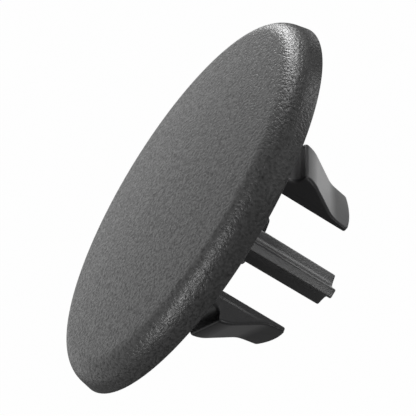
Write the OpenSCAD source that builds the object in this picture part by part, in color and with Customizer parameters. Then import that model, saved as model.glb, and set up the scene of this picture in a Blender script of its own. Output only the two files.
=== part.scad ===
// Bolt cover cap: a round cover with a three-ribbed stem and three barbed snap legs, moulded as one piece.
// Millimetres. +Z points out of the visible face, and Z = 0 is the seating edge of the rim.

/* [Cover] */
// Diameter of the cover across its seating edge
cover_d = 40; // [34:0.5:60]
// Height of the rim from the seating edge, before the crown of the face
rim_h = 2.95; // [2.7:0.05:4]
// Lean of the rim's flank from the cap's axis, in degrees
flank_draft = 13; // [4:0.5:16]
// Radius of the rounded edge between the flank and the face
edge_r = 2.4; // [0.8:0.1:2.6]
// Rise of the middle of the face above the height of the rim
face_crown = 0.7; // [0.2:0.05:1.2]
// Thickness of the plate behind the edge of the face
plate_t = 1.8; // [1.2:0.1:2.2]
// Width of the flat seating edge round the back of the rim
seat_w = 2; // [1.4:0.1:3.5]
// Lean of the recess wall inside the seating edge, in degrees
recess_draft = 12; // [2:1:25]

/* [Stem] */
// Length of the stem below the seating edge
stem_len = 16.1; // [11:0.1:24]
// Radius over the stem's ribs at the seating edge
stem_r = 1.9; // [1.5:0.05:3]
// Radius over the stem's ribs at its end
stem_end_r = 1.8; // [1.4:0.05:3]
// Thickness of each stem rib
rib_t = 1.1; // [0.8:0.05:1.4]
// Radius in the corners between the stem's ribs
rib_fillet = 0.5; // [0.2:0.05:0.8]
// Radius of the edge round the stem's end
stem_end_round = 0.15; // [0.1:0.05:0.6]
// Distance of the stem's middle from the cap's axis, along X
stem_offset = -0.35; // [-0.8:0.05:0.8]

/* [Snap legs] */
// Distance of each leg's inner face from the cap's axis
leg_in_r = 7.7; // [6:0.1:9]
// Width of a leg's leaf at the seating edge
leg_w = 5.85; // [4:0.05:7]
// Width of a leg's leaf at its tip
leg_tip_w = 5.6; // [3.6:0.05:6.4]
// Length of a leg below the seating edge, at the middle of its tip
leg_len = 12.25; // [11:0.05:14]
// How much shorter the third leg is
third_leg_cut = 2.1; // [0:0.05:2.5]
// Thickness of a leg's neck, between the cover and the catch
neck_t = 1.7; // [1.3:0.05:2.2]
// Thickness of the leaf that runs the whole length of a leg
leaf_t = 0.7; // [0.5:0.05:1]
// Thickness of the leaf at its tip
tip_t = 0.4; // [0.3:0.05:0.8]
// How far the barb stands out past the neck
barb_out = 1.3; // [0.8:0.05:1.8]
// Depth of the barb's crest below the seating edge
barb_z = 5.2; // [4.4:0.1:6]
// Length of the crest along the leg
crest_len = 1.1; // [0.5:0.1:1.6]
// How far the crest leans inward over its length
crest_drop = 0.2; // [0.05:0.05:0.4]
// Radius of the crest's edge over the catch; the edge over the ramp has twice that
crest_round = 0.3; // [0.1:0.05:0.35]
// Depth below the seating edge where the ramp runs out on the leaf
ramp_end_z = 9.9; // [8.6:0.1:10.6]
// Slope of the catch face, in degrees
catch_slope = 17; // [5:1:30]
// Radius of the hollow between the neck and the catch face
catch_r = 1.1; // [0.4:0.1:1.3]
// Radius of the hollow where a leg meets the plate
leg_root_r = 0.6; // [0.2:0.1:0.8]
// How far the sides of the barb stand out past the sides of the leaf
side_step = 0.05; // [0.03:0.01:0.2]
// Bulge of the tip past its corners
tip_crown = 0.35; // [0.1:0.05:0.6]
// Radius of the tip's corners
tip_corner_r = 0.2; // [0.1:0.05:1]

/* [Hidden] */
// Turn of each leg about the axis, the shorter third leg last; the ribs stand half way between them
leg_turns = [210, 330, 90];
rib_turn = 30;
rib_step = 120;
// Depth to which the stem and legs run into the plate
bite = 0.6;
// Length by which a cutting outline runs past what it cuts
past = 1;
// Straight pieces in an arc
arc_steps = 10;
cover_r = cover_d / 2;
recess_h = rim_h - plate_t;
edge_z = rim_h - edge_r;
face_r = cover_r - (edge_r + edge_z * sin(flank_draft)) / cos(flank_draft);
// The face is part of a ball that runs smoothly into the rounded edge
face_ball_r = edge_r + (face_r * face_r + face_crown * face_crown) / (2 * face_crown);
face_half_angle = asin(face_r / (face_ball_r - edge_r));
neck_r = leg_in_r + neck_t;
crest_r = neck_r + barb_out;
leaf_r = leg_in_r + leaf_t;
catch_z = -barb_z + (crest_r - neck_r - catch_r) * tan(catch_slope) + catch_r / cos(catch_slope);
// Lean of the tongue's outer face from the end of the ramp to the tip
tongue_lean = (leaf_t - tip_t) / (leg_len - ramp_end_z);

// Points of an arc round [x, y], from one angle to another
function arc(x, y, r, from, to) =
    [for (i = [0:arc_steps]) let (a = from + (to - from) * i / arc_steps) [x + r * cos(a), y + r * sin(a)]];

// Points of an arc of radius r that rounds the corner at a point between its two neighbours
function round_corner(before, at, after, r) =
    let (
        u = (before - at) / norm(before - at),
        v = (after - at) / norm(after - at),
        half = acos(u * v) / 2,
        middle = at + (u + v) / norm(u + v) * r / sin(half),
        start = at + u * r / tan(half) - middle,
        end = at + v * r / tan(half) - middle,
        from = atan2(start.y, start.x),
        turn = (atan2(end.y, end.x) - from + 900) % 360 - 180)
    arc(middle.x, middle.y, r, from, from + turn);

// A point turned about the axis
function turned(p, a) = [p.x * cos(a) - p.y * sin(a), p.x * sin(a) + p.y * cos(a)];

// Half section of the cover: crowned face, rounded edge, leaning flank, flat seating edge and recess
module cover() {
    rotate_extrude($fn = 180)
        polygon(concat(
            [[0, recess_h],
             [cover_r - seat_w - recess_h * tan(recess_draft), recess_h],
             [cover_r - seat_w, 0],
             [cover_r, 0]],
            arc(face_r, edge_z, edge_r, flank_draft, 90 - face_half_angle),
            [for (i = [arc_steps - 1:-1:0])
                let (a = face_half_angle * i / arc_steps)
                [face_ball_r * sin(a), rim_h + face_crown - face_ball_r * (1 - cos(a))]]));
}

// Section of the stem: three ribs about the axis, with a hollow in each corner between them
module stem_section() {
    half_t = rib_t / 2;
    hollow = (half_t + rib_fillet) / sin(rib_step / 2);
    reach = stem_r + past;
    polygon([for (k = [0:2])
        let (rib = rib_turn + k * rib_step, corner = rib + rib_step / 2)
        each concat(
            [turned([reach, -half_t], rib), turned([reach, half_t], rib)],
            arc(hollow * cos(corner), hollow * sin(corner), rib_fillet, corner + 210, corner + 150))]);
}

// The stem is its section cut by a turned outline that tapers to a rounded end
module stem() {
    top = recess_h + bite;
    intersection() {
        translate([0, 0, -stem_len - past])
            linear_extrude(height = stem_len + past + top)
                stem_section();
        rotate_extrude($fn = 96)
            polygon(concat(
                [[0, top + past], [stem_r, top + past], [stem_r, 0]],
                arc(stem_end_r - stem_end_round, -stem_len + stem_end_round, stem_end_round, 0, -90),
                [[0, -stem_len]]));
    }
}

// Side view of a leg: leaf, neck, hollowed catch, barb crest, ramp and tongue
module leg_profile() {
    ramp_end = [leaf_r, -ramp_end_z];
    ramp_start = [crest_r - crest_drop, -barb_z - crest_len];
    crest = [crest_r, -barb_z];
    catch_face = arc(neck_r + catch_r, catch_z, catch_r, 270 - catch_slope, 180);
    polygon(concat(
        [[leg_in_r - leg_root_r, recess_h + bite]],
        arc(leg_in_r - leg_root_r, recess_h - leg_root_r, leg_root_r, 90, 0),
        [[leg_in_r, -leg_len - past],
         [leg_in_r + tip_t - tongue_lean * past, -leg_len - past],
         ramp_end],
        round_corner(ramp_end, ramp_start, crest, 2 * crest_round),
        round_corner(ramp_start, crest, catch_face[0], crest_round),
        catch_face,
        arc(neck_r + leg_root_r, recess_h - leg_root_r, leg_root_r, 180, 90),
        [[neck_r + leg_root_r, recess_h + bite]]));
}

// Front view of a leg: sides that draw in towards a bulged tip with round corners
module leg_front(root_w, tip_w, length) {
    shoulder = length - tip_crown - tip_corner_r;
    half_tip = tip_w / 2;
    crown_x = half_tip - tip_corner_r;
    top = recess_h + bite + past;
    polygon(concat(
        [[-root_w / 2, top], [-root_w / 2, 0]],
        arc(-crown_x, -shoulder, tip_corner_r, 180, 260),
        [for (i = [1 - arc_steps:2:arc_steps - 1])
            let (u = i / arc_steps)
            [crown_x * u, -length + tip_crown * u * u]],
        arc(crown_x, -shoulder, tip_corner_r, -80, 0),
        [[root_w / 2, 0], [root_w / 2, top]]));
}

// One stretch of a leg, from one distance off the axis to another, widened by a step at each side
module leg_stretch(from_r, to_r, step, length) {
    intersection() {
        rotate([90, 0, 0])
            linear_extrude(height = leg_w + 2 * past, center = true)
                leg_profile();
        translate([from_r, 0, 0])
            rotate([90, 0, 90])
                linear_extrude(height = to_r - from_r)
                    leg_front(leg_w + 2 * step, leg_tip_w + 2 * step, length);
    }
}

module snap_leg(length) {
    leg_stretch(leg_in_r - leg_root_r - past, leaf_r, 0, length);
    leg_stretch(leaf_r, crest_r + past, side_step, length);
}

module bolt_cover_cap() {
    color("#3c3c3d") {
        cover();
        translate([stem_offset, 0, 0])
            stem();
        for (k = [0:2])
            rotate([0, 0, leg_turns[k]])
                snap_leg(k == 2 ? leg_len - third_leg_cut : leg_len);
    }
}

bolt_cover_cap();
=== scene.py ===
import math

import bmesh
import bpy
import numpy as np
from mathutils import Matrix, Vector


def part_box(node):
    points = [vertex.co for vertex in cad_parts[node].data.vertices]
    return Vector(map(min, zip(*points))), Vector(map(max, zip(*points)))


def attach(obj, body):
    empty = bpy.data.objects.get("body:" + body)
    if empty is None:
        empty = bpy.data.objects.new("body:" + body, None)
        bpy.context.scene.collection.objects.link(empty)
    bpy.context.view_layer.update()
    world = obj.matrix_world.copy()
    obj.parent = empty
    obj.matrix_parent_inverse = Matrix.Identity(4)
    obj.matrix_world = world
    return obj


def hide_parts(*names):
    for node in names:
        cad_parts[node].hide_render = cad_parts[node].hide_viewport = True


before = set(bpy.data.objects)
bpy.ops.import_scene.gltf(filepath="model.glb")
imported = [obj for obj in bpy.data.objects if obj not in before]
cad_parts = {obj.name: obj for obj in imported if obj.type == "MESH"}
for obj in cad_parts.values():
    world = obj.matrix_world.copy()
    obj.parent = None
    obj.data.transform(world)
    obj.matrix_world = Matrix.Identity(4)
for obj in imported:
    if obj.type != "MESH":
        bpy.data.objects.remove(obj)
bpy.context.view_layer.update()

# The cover is a round plate with a crowned face, a rounded edge and a leaning rim.
# It is moulded in dark grey plastic in one shot with the stem and the legs. The mould gives its outside
# a fine pebbled grain, and its back is a shallow recess inside a flat seating edge.
MM = 0.001
cap_low, cap_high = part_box("bolt_cover_cap")
cover_r = (cap_high.x - cap_low.x) / 2
face_crown = 0.7 * MM
rim_h = cap_high.z - face_crown
edge_r = 2.4 * MM
flank_draft = math.radians(13)
plate_t = 1.8 * MM
recess_h = rim_h - plate_t
seat_w = 2.0 * MM
recess_draft = math.radians(12)
seat_edge_r = 0.06 * MM
recess_corner_r = 0.3 * MM
sharp_r = 0.0001 * MM
middle_share = 0.003
around = 320
face_rows = 40
edge_rows = 26
rim_corner_points = 6
recess_rows = 12


def rounded(corners, radii, points):
    """Closed outline through the corners, each cut by an arc of its own radius, with so many points on each
    arc. The arc's centre lies on the corner's bisector at radius / sin(half the angle), and its ends lie at
    radius / tan(half the angle) from the corner."""
    corners = np.asarray(corners, float)
    radii = np.asarray(radii, float)[:, None]
    back = np.roll(corners, 1, 0) - corners
    ahead = np.roll(corners, -1, 0) - corners
    back /= np.linalg.norm(back, axis=1, keepdims=True)
    ahead /= np.linalg.norm(ahead, axis=1, keepdims=True)
    half = np.arccos((back * ahead).sum(1, keepdims=True)) / 2
    middle = (back + ahead) / np.linalg.norm(back + ahead, axis=1, keepdims=True)
    centre = corners + middle * radii / np.sin(half)
    start = corners + back * radii / np.tan(half) - centre
    end = corners + ahead * radii / np.tan(half) - centre
    sweep = (math.pi - 2 * half)[:, None]
    t = np.linspace(0, 1, points)[None, :, None]
    arcs = (np.sin((1 - t) * sweep) * start[:, None] + np.sin(t * sweep) * end[:, None]) / np.sin(sweep)
    return (centre[:, None] + arcs).reshape(-1, 2)


def tube_faces(rows, columns):
    """Quads between neighbouring points of a grid whose columns close into a ring."""
    i, j = np.meshgrid(np.arange(rows - 1), np.arange(columns), indexing="ij")
    beside = (j + 1) % columns
    quads = [i * columns + j, i * columns + beside, (i + 1) * columns + beside, (i + 1) * columns + j]
    return np.stack(quads, -1).reshape(-1, 4).tolist()


def closed_tube(rows, columns):
    """Quads of a tube whose rings run the other way round, then one face across its first ring and one
    across its last."""
    count = rows * columns
    ends = [list(range(columns)), list(range(count - columns, count))[::-1]]
    return [face[::-1] for face in tube_faces(rows, columns)] + ends


def cover_section():
    """Half section of the cover from the middle of the face round to the middle of the recess: an arc of a
    large ball for the face, which runs smoothly into the arc of the edge, then straight runs with small
    rounds. Also gives the row of the flank's foot."""
    edge_z = rim_h - edge_r
    face_r = cover_r - (edge_r + edge_z * math.sin(flank_draft)) / math.cos(flank_draft)
    centre_gap = (face_r ** 2 + face_crown ** 2) / (2 * face_crown)
    ball_r = centre_gap + edge_r
    lean = math.asin(face_r / centre_gap)
    a = lean * np.linspace(middle_share, 1, face_rows)
    face = np.stack([ball_r * np.sin(a), cap_high.z - ball_r * (1 - np.cos(a))], 1)
    a = np.linspace(math.pi / 2 - lean, flank_draft, edge_rows)[1:]
    edge = np.stack([face_r + edge_r * np.cos(a), edge_z + edge_r * np.sin(a)], 1)
    seat_in_r = cover_r - seat_w
    recess_r = seat_in_r - recess_h * math.tan(recess_draft)
    corners = [edge[-1], [cover_r, 0], [seat_in_r, 0], [recess_r, recess_h], [face_r / 2, recess_h]]
    radii = [sharp_r, seat_edge_r, seat_edge_r, recess_corner_r, sharp_r]
    rim = rounded(corners, radii, rim_corner_points)[rim_corner_points:-rim_corner_points]
    recess_u = np.linspace(recess_r - 2 * recess_corner_r, face_r * middle_share, recess_rows)
    recess = np.stack([recess_u, np.full(recess_rows, recess_h)], 1)
    return np.concatenate([face, edge, rim, recess]), len(face) + len(edge)


section, flank_foot = cover_section()
turn = np.linspace(0, 2 * math.pi, around, endpoint=False)
cover_points = np.stack([
    np.outer(section[:, 0], np.cos(turn)),
    np.outer(section[:, 0], np.sin(turn)),
    np.repeat(section[:, 1:], around, 1)], -1)
cover_faces = closed_tube(len(section), around)

# The stem is three thin ribs set as a star, which stand in the middle of the cover's back and are moulded
# with it. It draws in a little towards its end so that it leaves the mould. The hollows between the ribs
# are soft, and the ribs' edges are eased.
stem_len = -cap_low.z
stem_r = 1.9 * MM
stem_end_r = 1.8 * MM
rib_t = 1.1 * MM
rib_fillet = 1.0 * MM
rib_corner_r = 0.22 * MM
stem_end_round = 0.15 * MM
stem_offset = -0.35 * MM
rib_turns = np.radians([30, 150, 270])
root_bite = 0.6 * MM
rib_corner_points = 9
stem_rows = 24
stem_end_rows = 6


def star_outline():
    """Star of three ribs: two corners at the end of each rib, then the hollow corner before the next rib at
    half the rib's thickness / sin 60 degrees from the middle."""
    half = rib_t / 2
    along = np.stack([np.cos(rib_turns), np.sin(rib_turns)], 1)
    across = np.stack([-along[:, 1], along[:, 0]], 1)
    hollow_turns = rib_turns + math.pi / 3
    hollow = half / math.sin(math.pi / 3) * np.stack([np.cos(hollow_turns), np.sin(hollow_turns)], 1)
    rib_end = along * math.sqrt(stem_r ** 2 - half ** 2)
    corners = np.stack([rib_end - across * half, rib_end + across * half, hollow], 1).reshape(-1, 2)
    radii = [rib_corner_r, rib_corner_r, rib_fillet] * len(rib_turns)
    return rounded(corners, radii, rib_corner_points)


def stem_surface():
    """The star carried down the stem: scaled in a straight line towards the end, and there drawn in along
    its own normals by a quarter circle that rounds the end's edge."""
    star = star_outline()
    chord = np.roll(star, -1, 0) - np.roll(star, 1, 0)
    outward = np.stack([chord[:, 1], -chord[:, 0]], 1) / np.linalg.norm(chord, axis=1, keepdims=True)
    a = np.linspace(0, math.pi / 2, stem_end_rows + 1)[1:]
    shoulder = -stem_len + stem_end_round
    straight = np.append(recess_h + root_bite, np.linspace(0, shoulder, stem_rows))
    z = np.append(straight, shoulder - stem_end_round * np.sin(a))
    drawn_in = np.append(np.zeros(len(straight)), stem_end_round * (1 - np.cos(a)))
    scale = np.interp(-z, [0, stem_len], [1, stem_end_r / stem_r])
    xy = star * scale[:, None, None] - outward * drawn_in[:, None, None]
    xy[..., 0] += stem_offset
    return np.concatenate([xy, np.repeat(z[:, None, None], len(star), 1)], 2)


stem_points = stem_surface()
stem_faces = closed_tube(*stem_points.shape[:2])

# The snap legs are three springy leaves round the stem, moulded with the cover, each with a barb. The
# barb's ramp rides into the panel's hole, and its hollowed catch then hooks behind the panel. The third leg
# ends short of the other two.
leg_in_r = 7.7 * MM
leg_w = 5.85 * MM
leg_tip_w = 5.6 * MM
leg_len = 12.25 * MM
third_leg_cut = 2.1 * MM
neck_r = leg_in_r + 1.7 * MM
leaf_r = leg_in_r + 0.7 * MM
tip_r = leg_in_r + 0.4 * MM
crest_r = neck_r + 1.3 * MM
barb_z = 5.2 * MM
crest_len = 1.1 * MM
crest_drop = 0.2 * MM
crest_round = 0.3 * MM
ramp_end_z = 9.9 * MM
ramp_top_r = 3.8 * MM
ramp_foot_r = 3.0 * MM
catch_slope = math.radians(17)
catch_r = 1.1 * MM
leg_root_r = 0.6 * MM
side_step = 0.05 * MM
step_fade = 1.8 * MM
joint_w = 0.2 * MM
tip_crown = 0.35 * MM
tip_corner_r = 0.2 * MM
tip_draw = 2.0 * MM
leg_edge_r = 0.1 * MM
barb_edge_r = 0.32 * MM
leg_turns = np.radians([210, 330, 90])
line_corner_points = 12
leg_rows = 40
tip_rows = 5
edge_columns = 5
face_columns = 17
# Shares of the thickness at a depth: the most that an edge takes, where the joint lies, and half its width
edge_share = 0.3
joint_share = 0.55
joint_half_share = 0.08
# Share of a tip corner's radius at which its circle stops, before it stands upright
tip_corner_share = 0.99
# Places of the columns that keep the flats flat, as multiples of the edge or joint that they lie beside
edge_guard = 1.1
leaf_guard = 1.2
joint_guard = 1.4


def leg_outer_line():
    """Outer side view of a leg as distance from the axis and depth: neck, hollowed catch, crest, ramp and
    tongue, with every corner rounded."""
    catch_z = -barb_z + (crest_r - neck_r) * math.tan(catch_slope)
    wide = crest_r + 2 * leg_root_r
    corners = [[wide, recess_h], [neck_r, recess_h], [neck_r, catch_z], [crest_r, -barb_z],
               [crest_r - crest_drop, -barb_z - crest_len], [leaf_r, -ramp_end_z], [tip_r, -leg_len],
               [wide, -2 * leg_len]]
    radii = [sharp_r, leg_root_r, catch_r, crest_round, ramp_top_r, ramp_foot_r, sharp_r, sharp_r]
    return rounded(corners, radii, line_corner_points)[line_corner_points:-line_corner_points]


def leg_depths(length):
    """Depths down a leg, and at each the distance of its outer and inner face from the axis, half the width
    of its leaf, and the barb's step. The root flares by a quarter circle, the step fades as the barb thins,
    and a quarter circle rounds the edge of the tip."""
    line = leg_outer_line()
    shoulder = -length + leg_edge_r
    even = np.linspace(shoulder, recess_h, leg_rows)
    z = np.concatenate([[recess_h + root_bite], line[line[:, 1] > shoulder, 1], even])
    z = np.unique(z)[::-1]
    rising = np.argsort(line[:, 1], kind="stable")
    outer = np.interp(z, line[rising, 1], line[rising, 0])
    flare = np.clip((z - recess_h + leg_root_r) / leg_root_r, 0, 1)
    inner = leg_in_r - leg_root_r * (1 - np.sqrt(1 - flare ** 2))
    half_w = np.interp(-z, [0, leg_len], [leg_w / 2, leg_tip_w / 2])
    step = side_step * np.clip((outer - leaf_r) / step_fade, 0, 1)

    a = np.linspace(0, math.pi / 2, tip_rows + 1)[1:]
    ease = leg_edge_r * (1 - np.cos(a))
    z = np.append(z, -length + leg_edge_r * (1 - np.sin(a)))
    outer = np.append(outer, outer[-1] - ease)
    inner = np.append(inner, inner[-1] + ease)
    half_w = np.append(half_w, half_w[-1] - ease)
    step = np.append(step, np.full(tip_rows, step[-1]))
    return [values[:, None] for values in (z, outer, inner, half_w, step)]


def leg_loops(outer, inner, half_w, step):
    """Loop round a leg at each depth, as distance from the axis and place across the leg: a rectangle whose
    corners are quarter circles, small on the leaf and larger on the barb, and whose sides step out from the
    leaf to the barb. The columns across the faces follow 1.5 u - 0.5 u cubed, so they crowd near the
    edges."""
    a = np.linspace(0, math.pi / 2, edge_columns)
    ease_r, ease_t = 1 - np.cos(a), 1 - np.sin(a)
    thick = outer - inner
    leaf_ease = np.minimum(leg_edge_r, edge_share * thick)
    barb_ease = np.minimum(barb_edge_r, edge_share * thick)
    joint_r = np.minimum(leaf_r, inner + joint_share * thick)
    joint_half = np.minimum(joint_w / 2, joint_half_share * thick)
    barb_half = half_w + step
    side_r = np.concatenate(
        [inner + leaf_ease * ease_r, inner + leaf_guard * leaf_ease,
         joint_r - joint_guard * joint_half, joint_r - joint_half,
         joint_r + joint_half, joint_r + joint_guard * joint_half,
         outer - edge_guard * barb_ease, outer - barb_ease * ease_r[::-1]], 1)
    side_t = np.concatenate(
        [half_w - leaf_ease * ease_t, half_w, half_w, half_w,
         barb_half, barb_half, barb_half, barb_half - barb_ease * ease_t[::-1]], 1)
    u = np.linspace(-1, 1, face_columns)
    across = 1.5 * u - 0.5 * u ** 3
    flat = np.ones(face_columns)
    outer_across = -(barb_half - edge_guard * barb_ease) * across
    inner_across = (half_w - edge_guard * leaf_ease) * across
    r = np.concatenate([side_r, outer * flat, side_r[:, ::-1], inner * flat], 1)
    t = np.concatenate([side_t, outer_across, -side_t[:, ::-1], inner_across], 1)
    return r, t


def leg_surface(length, turned):
    """A leg as closed loops carried down its depths and turned about the axis. Near the tip the depth is
    drawn back towards the sides, by the square of the place across for the tip's bulge and by a circle for
    its round corners."""
    z, outer, inner, half_w, step = leg_depths(length)
    r, t = leg_loops(outer, inner, half_w, step)
    beside = np.minimum(np.abs(t) / (half_w - leg_edge_r), 1)
    past = np.clip((beside - 1) * half_w + tip_corner_r, 0, tip_corner_share * tip_corner_r)
    drawn_back = tip_crown * beside ** 2 + tip_corner_r - np.sqrt(tip_corner_r ** 2 - past ** 2)
    depth = z + drawn_back * np.clip(1 - (length + z) / tip_draw, 0, 1)
    c, s = math.cos(turned), math.sin(turned)
    return np.stack([r * c - t * s, r * s + t * c, depth], 2)


def leg_faces(rows, columns):
    """Quads down the leg, a strip across its tip from the outer to the inner face with one face at each end
    of the strip, and one face at its root."""
    side = columns // 2 - face_columns
    last = (rows - 1) * columns
    k = np.arange(face_columns - 1)
    strip = np.stack([side + k, side + k + 1, columns - 2 - k, columns - 1 - k], 1) + last
    near_end = [*range(side + 1), columns - 1]
    far_end = range(side + face_columns - 1, 2 * side + face_columns + 1)
    tip_ends = [[p + last for p in end] for end in (near_end, far_end)]
    root = list(range(columns))[::-1]
    return tube_faces(rows, columns) + strip.tolist() + tip_ends + [root]


leg_lengths = [leg_len, leg_len, leg_len - third_leg_cut]
legs = [leg_surface(length, turned) for length, turned in zip(leg_lengths, leg_turns)]

# The cover, the stem and the legs are one moulding, so their surfaces are united into one closed skin,
# which stands for the CAD node. The mould leaves a grain on the outside, a smooth matt on the back and the
# legs, and a slightly coarser matt on the stem, whose grey is lifted above the cover's as painted light.
grained, smooth, sparked_and_lit = 0, 1, 2
weld_gap = 0.0005 * MM
crease = math.radians(34)


def shell(name, points, faces, finishes):
    """Object at the origin with the points and faces given, and a finish number for each face."""
    mesh = bpy.data.meshes.new(name)
    mesh.from_pydata(points.reshape(-1, 3).tolist(), [], faces)
    for finish in (grained, smooth, sparked_and_lit):
        mesh.materials.append(None)
    mesh.polygons.foreach_set("material_index", finishes)
    made = bpy.data.objects.new(name, mesh)
    bpy.context.scene.collection.objects.link(made)
    return made


# The grained faces are the rows down to the flank's foot, and the face across the first ring
cover_finishes = np.full(len(cover_faces), smooth)
cover_finishes[:flank_foot * around] = grained
cover_finishes[-2] = grained
cap = shell("bolt_cover_cap_moulding", cover_points, cover_faces, cover_finishes)
inner_points = [stem_points.reshape(-1, 3)]
inner_faces = list(stem_faces)
for leg in legs:
    start = sum(map(len, inner_points))
    inner_faces += [[p + start for p in face] for face in leg_faces(*leg.shape[:2])]
    inner_points.append(leg.reshape(-1, 3))
inner_finishes = np.full(len(inner_faces), smooth)
inner_finishes[:len(stem_faces)] = sparked_and_lit
inside = shell("stem_and_legs", np.concatenate(inner_points), inner_faces, inner_finishes)
unite = cap.modifiers.new("unite", "BOOLEAN")
unite.operation = "UNION"
unite.solver = "EXACT"
unite.material_mode = "INDEX"
unite.object = inside
united = bpy.data.meshes.new_from_object(cap.evaluated_get(bpy.context.evaluated_depsgraph_get()))
skin = bmesh.new()
skin.from_mesh(united)
bmesh.ops.remove_doubles(skin, verts=skin.verts, dist=weld_gap)
skin.to_mesh(united)
skin.free()
cap.modifiers.clear()
cap.data = united
bpy.data.objects.remove(inside)
united.shade_smooth()
united.set_sharp_from_angle(angle=crease)
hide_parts("bolt_cover_cap")
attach(cap, "root")

# The plastic is coloured through with carbon black. Its grain is flat-topped pebbles under half a
# millimetre across, etched into the mould, with rougher hollows, and a little weaker on the flank. The grey
# is painted lighter on the pebbles' tops and darker in the hollows, as painted light and shade.
# The other finishes are fine matts left by a spark-eroded mould. The stem's is also painted a lighter grey,
# as painted light on its ribs.
plastic_grey = (0.017, 0.017, 0.0175, 1)
# Painted light: the stem gets about twice the cover's grey, though it is the same plastic
stem_lit_grey = (0.034, 0.034, 0.0345, 1)
grain_cell = (0.25 * MM, 0.45 * MM, 0.25 * MM)
grain_depth = 0.1 * MM
pebble_top = 0.12
grain_low_z, grain_high_z = 1.1 * MM, 1.9 * MM
flank_grain = 0.7
grain_roughness = 0.33
grain_roughness_range = 0.5
# Painted shade in the grain's hollows and painted light on its tops, as a share of the grey
grain_shade_range = 0.06
grain_shine = 0.122
spark_size = 0.16 * MM
spark_roughness = 0.36


class Value:
    """A shader socket that can be used in plain sums; each operator adds one Math node."""

    def __init__(self, tree, socket):
        self.tree = tree
        self.socket = socket

    def node(self, kind, output, settings, **sockets):
        """Any other node: its settings are set first, then the values or links of its sockets. A socket goes
        by its name, with a low line for each space, or by its number after a low line."""
        made = self.tree.nodes.new(kind)
        for name, value in settings.items():
            setattr(made, name, value)
        for name, value in sockets.items():
            target = made.inputs[int(name[1:])] if name[0] == "_" else made.inputs[name.replace("_", " ")]
            if isinstance(value, Value):
                self.tree.links.new(value.socket, target)
            else:
                target.default_value = value
        return Value(self.tree, made.outputs[output])

    def maths(self, operation, a, b):
        return self.node("ShaderNodeMath", 0, {"operation": operation}, _0=a, _1=b)

    def __add__(self, other):
        return self.maths("ADD", self, other)

    def __radd__(self, other):
        return self.maths("ADD", other, self)

    def __sub__(self, other):
        return self.maths("SUBTRACT", self, other)

    def __rsub__(self, other):
        return self.maths("SUBTRACT", other, self)

    def __mul__(self, other):
        return self.maths("MULTIPLY", self, other)

    def __rmul__(self, other):
        return self.maths("MULTIPLY", other, self)


def plastic(name, grey, shine):
    """The cap's plastic in a grey and a shine: the material, its shader node, and the place on the piece as
    a value."""
    made = bpy.data.materials.new(name)
    made.use_nodes = True
    tree = made.node_tree
    shader = tree.nodes["Principled BSDF"]
    shader.inputs["Base Color"].default_value = grey
    shader.inputs["Specular IOR Level"].default_value = shine
    place = Value(tree, tree.nodes.new("ShaderNodeTexCoord").outputs["Object"])
    return made, shader, place


def grain_finish(name):
    """The plastic with noise bumps that are cut flat at the top and fade a little down the flank. Their tops
    are less rough than the hollows between them, and their grey is painted lighter on the tops and darker in
    the hollows, as painted light and shade."""
    made, shader, place = plastic(name, plastic_grey, grain_shine)
    cells = place.node("ShaderNodeVectorMath", "Vector", {"operation": "DIVIDE"}, _0=place, _1=grain_cell)
    noise = place.node("ShaderNodeTexNoise", "Fac", {},
                       Vector=cells, Scale=1.0, Detail=2.0, Roughness=0.55)
    pebbles = place.maths("MINIMUM", noise - 0.5, pebble_top)
    height = place.node("ShaderNodeSeparateXYZ", "Z", {}, Vector=place)
    share = place.node("ShaderNodeMapRange", 0, {"interpolation_type": "SMOOTHSTEP"}, Value=height,
                       From_Min=grain_low_z, From_Max=grain_high_z, To_Min=flank_grain, To_Max=1.0)
    grain = pebbles * share
    bumps = place.node("ShaderNodeBump", "Normal", {}, Height=grain, Distance=grain_depth, Strength=1.0)
    roughness = grain_roughness - grain * grain_roughness_range
    # Painted light and shade: the grey rises on the pebbles' tops and falls in their hollows
    grey = plastic_grey[0] + grain * grain_shade_range
    for socket, value in (("Normal", bumps), ("Roughness", roughness), ("Base Color", grey)):
        place.tree.links.new(value.socket, shader.inputs[socket])
    return made


def spark_finish(name, grey, depth, shine):
    """The plastic with fine noise bumps of the depth given, as left by a spark-eroded mould."""
    made, shader, place = plastic(name, grey, shine)
    spark = place.node("ShaderNodeTexNoise", "Fac", {},
                       Vector=place, Scale=1 / spark_size, Detail=2.0, Roughness=0.6)
    bumps = place.node("ShaderNodeBump", "Normal", {}, Height=spark, Distance=depth, Strength=1.0)
    place.tree.links.new(bumps.socket, shader.inputs["Normal"])
    shader.inputs["Roughness"].default_value = spark_roughness
    return made


united.materials[grained] = grain_finish("grained_plastic")
united.materials[smooth] = spark_finish("smooth_plastic", plastic_grey, depth=0.01 * MM, shine=0.17)
# Painted light: the stem's finish takes the lighter grey
united.materials[sparked_and_lit] = spark_finish("sparked_plastic", stem_lit_grey, depth=0.02 * MM, shine=0.27)

# The camera stands where the photograph was taken from: in front of the rim, low over the face, and rolled
# so that the stem points down to the right. Its place follows from where the cap's middle falls in the
# picture.
picture_px = 416
focal_px = 1700
cover_r_px = 209.3
middle_px = (195.9, 207.0)
view_lift = math.radians(17.27)
view_turn = math.radians(0.7)
stem_slant = math.radians(31.15)
m_per_px = cover_r / cover_r_px
flat = math.cos(view_lift)
back = Vector((math.sin(view_turn) * flat, -math.cos(view_turn) * flat, math.sin(view_lift)))
level = Vector((math.cos(view_turn), math.sin(view_turn), 0))
rise = back.cross(level)
right = level * math.sin(stem_slant) - rise * math.cos(stem_slant)
up = level * math.cos(stem_slant) + rise * math.sin(stem_slant)
aside = picture_px / 2 - middle_px[0]
below = middle_px[1] - picture_px / 2
stand = (back * focal_px + right * aside + up * below) * m_per_px
camera = bpy.data.objects.new("camera", bpy.data.cameras.new("camera"))
bpy.context.scene.collection.objects.link(camera)
camera.matrix_world = Matrix.Translation(stand) @ Matrix((right, up, back)).transposed().to_4x4()
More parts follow.
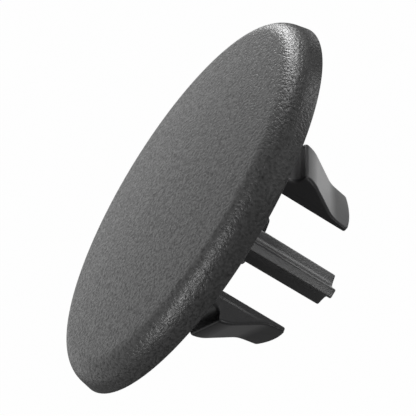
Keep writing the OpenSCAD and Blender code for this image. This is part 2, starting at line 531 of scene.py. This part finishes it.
camera.data.sensor_width = 36
camera.data.lens = camera.data.sensor_width * focal_px / picture_px
camera.data.clip_start = 10 * MM
bpy.context.scene.camera = camera

# The floor is a plain white sheet well below the cap. To the camera it glows white, and it keeps a trace of
# the light that falls on it, so that the cap's shadow still shows. Glossy surfaces see a small share of the
# glow.
floor_z = cap_low.z - 600 * MM
floor_half = 12.0
floor_grey = (0.7, 0.7, 0.7, 1)
shadow_share = 0.012
floor_sheen = 0.045
white = (1, 1, 1, 1)
floor_mesh = bpy.data.meshes.new("floor")
floor_mesh.from_pydata(
    [(-floor_half, -floor_half, floor_z), (floor_half, -floor_half, floor_z),
     (floor_half, floor_half, floor_z), (-floor_half, floor_half, floor_z)], [], [(0, 1, 2, 3)])
floor = bpy.data.objects.new("floor", floor_mesh)
bpy.context.scene.collection.objects.link(floor)


def background_ray(tree, sheen):
    """1 for a ray from the camera or through a clear surface, the given share for one off a glossy surface,
    and 0 for any other."""
    rays = tree.nodes.new("ShaderNodeLightPath").outputs
    clear = Value(tree, rays["Is Transmission Ray"])
    return clear + Value(tree, rays["Is Camera Ray"]) + Value(tree, rays["Is Glossy Ray"]) * sheen


floor_white = bpy.data.materials.new("floor_white")
floor_white.use_nodes = True
tree = floor_white.node_tree
tree.nodes.remove(tree.nodes["Principled BSDF"])
seen = background_ray(tree, floor_sheen)
lit = seen.node("ShaderNodeBsdfDiffuse", 0, {}, Color=floor_grey)
glow = seen.node("ShaderNodeEmission", 0, {}, Color=white, Strength=1.0)
shown = seen.node("ShaderNodeMixShader", 0, {}, Fac=seen * (1 - shadow_share), _1=lit, _2=glow)
tree.links.new(shown.socket, tree.nodes["Material Output"].inputs["Surface"])
floor_mesh.materials.append(floor_white)

# The light is a dim white surround, which the camera and glossy surfaces see as full white, and soft lamps
# of several sizes placed about the camera's view, as round a small studio table.
surround = 0.15
world = bpy.data.worlds.new("surround")
world.use_nodes = True
bpy.context.scene.world = world
tree = world.node_tree
tree.nodes["Background"].inputs["Color"].default_value = white
strength = background_ray(tree, 1.0) * (1 - surround) + surround
tree.links.new(strength.socket, tree.nodes["Background"].inputs["Strength"])


def soft_lamp(name, aim, distance, width, length, glow):
    """A flat lamp of the given brightness, set off from the cap at a distance towards an aim given along the
    camera's right, up and back. Its width runs along the camera's right."""
    lamp = bpy.data.lights.new(name, "AREA")
    lamp.shape = "RECTANGLE"
    lamp.size = width
    lamp.size_y = length
    lamp.energy = glow * math.pi * width * length
    towards = (right * aim[0] + up * aim[1] + back * aim[2]).normalized()
    across = (right - towards * right.dot(towards)).normalized()
    made = bpy.data.objects.new(name, lamp)
    turned = Matrix((across, towards.cross(across), towards)).transposed().to_4x4()
    made.matrix_world = Matrix.Translation(towards * distance) @ turned
    made.visible_camera = False
    bpy.context.scene.collection.objects.link(made)


soft_lamp("lamp_behind_above", (-0.19, 0.88, -0.43), 0.5, 0.1, 0.6, 12.0)
soft_lamp("lamp_front_left", (-0.88, 0.0, 0.44), 0.5, 0.08, 0.5, 40.0)
soft_lamp("lamp_right", (0.72, 0.685, 0.05), 0.35, 0.17, 0.17, 9.8)
soft_lamp("lamp_front_above", (0.41, 0.49, 0.77), 0.35, 0.15, 0.15, 4.5)
soft_lamp("lamp_behind_right", (0.515, 0.28, -0.81), 0.2, 0.11, 0.11, 1.6)
soft_lamp("lamp_front_right", (0.56, -0.44, 0.7), 0.2, 0.05, 0.05, 14.5)
bpy.context.scene.view_settings.view_transform = "Standard"
